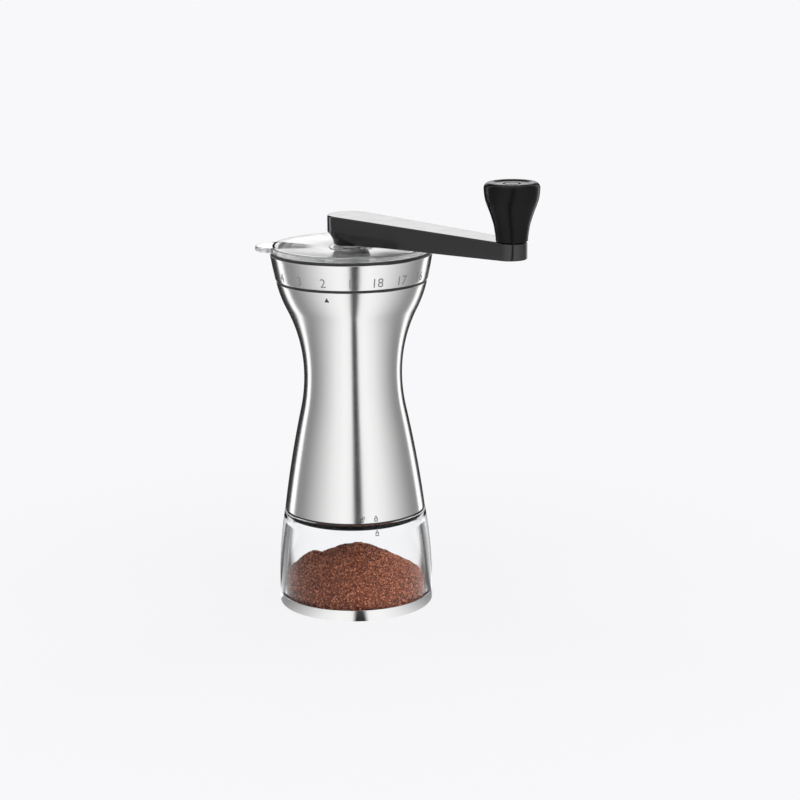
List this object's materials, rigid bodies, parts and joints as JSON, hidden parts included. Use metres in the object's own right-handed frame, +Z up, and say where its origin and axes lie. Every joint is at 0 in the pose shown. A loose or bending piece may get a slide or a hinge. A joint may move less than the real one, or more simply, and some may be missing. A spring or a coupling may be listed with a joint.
{
  "type": "hand crank coffee grinder",
  "caption": "Upright hand coffee grinder with an hourglass steel body, numbered setting ring, clear lid and jar, and a side crank with a turning knob.",
  "frame": {"origin": "centre of the flat underside of the base, on the shaft's axis", "axes": "+Z up along the shaft; the crank points to +X -Y at rest and the lid's tab to -X"},
  "size_m": [0.1153, 0.1091, 0.1895],
  "materials": {
    "steel": "satin brushed",
    "black_plastic": "satin gloss",
    "liner_plastic": "fine matt",
    "clear_plastic": "clear polished",
    "burr_ceramic": "unglazed",
    "shaft_steel": "turned",
    "spring_steel": "drawn wire",
    "bronze": "sintered",
    "coffee": "loose ground coffee"
  },
  "bodies": {
    "housing": {"body_shell": "steel", "hopper_liner": "liner_plastic", "mill_frame": "liner_plastic", "outer_burr": "burr_ceramic", "burr_retainer": "liner_plastic", "retainer_screws": "shaft_steel", "lower_bearing": "bronze"},
    "ring": {"setting_ring": "steel", "ring_insert": "liner_plastic"},
    "carrier": {"bearing_carrier": "liner_plastic", "upper_bearing": "bronze"},
    "mill_shaft": {"drive_shaft": "shaft_steel", "shaft_circlip": "spring_steel", "thrust_washer": "shaft_steel", "inner_burr": "burr_ceramic", "burr_spring": "spring_steel", "burr_nut": "shaft_steel"},
    "crank": {"crank_arm": "black_plastic", "hub_socket": "shaft_steel", "knob_pin": "shaft_steel"},
    "knob": {"knob": "black_plastic", "knob_cap": "black_plastic", "knob_washer": "shaft_steel"},
    "lid": {"lid": "clear_plastic"},
    "jar": {"jar": "clear_plastic", "base_cap": "steel", "coffee_grounds": "coffee"}
  },
  "joints": [
    {"name": "ring_turn", "type": "hinge", "parent": "housing", "child": "ring", "pos_m": [0, 0, 0.146], "axis": [0, 0, 1], "range_deg": [-20, 320]},
    {"name": "burr_adjust", "type": "slide", "parent": "housing", "child": "carrier", "axis": [0, 0, 1], "range_m": [-0.0009, 0.0001], "deforming": ["burr_spring"]},
    {"name": "crank_turn", "type": "hinge", "parent": "carrier", "child": "mill_shaft", "pos_m": [0, 0, 0.146], "axis": [0, 0, 1], "continuous": true},
    {"name": "crank_lift", "type": "slide", "parent": "mill_shaft", "child": "crank", "axis": [0, 0, 1], "range_m": [0, 0.08]},
    {"name": "knob_spin", "type": "hinge", "parent": "crank", "child": "knob", "pos_m": [0.06399, -0.06399, 0.178], "axis": [0, 0, 1], "continuous": true},
    {"name": "lid_lift", "type": "slide", "parent": "ring", "child": "lid", "axis": [0, 0, 1], "range_m": [0, 0.04]},
    {"name": "jar_twist", "type": "hinge", "parent": "housing", "child": "jar", "pos_m": [0, 0, 0.045], "axis": [0, 0, 1], "range_deg": [-11, 0]}
  ],
  "couplings": [
    {"joint": "burr_adjust", "follows": "ring_turn", "m_per_rad": -0.00015915},
    {"joint": "lid_lift", "follows": "crank_lift", "ratio": 0.5}
  ]
}
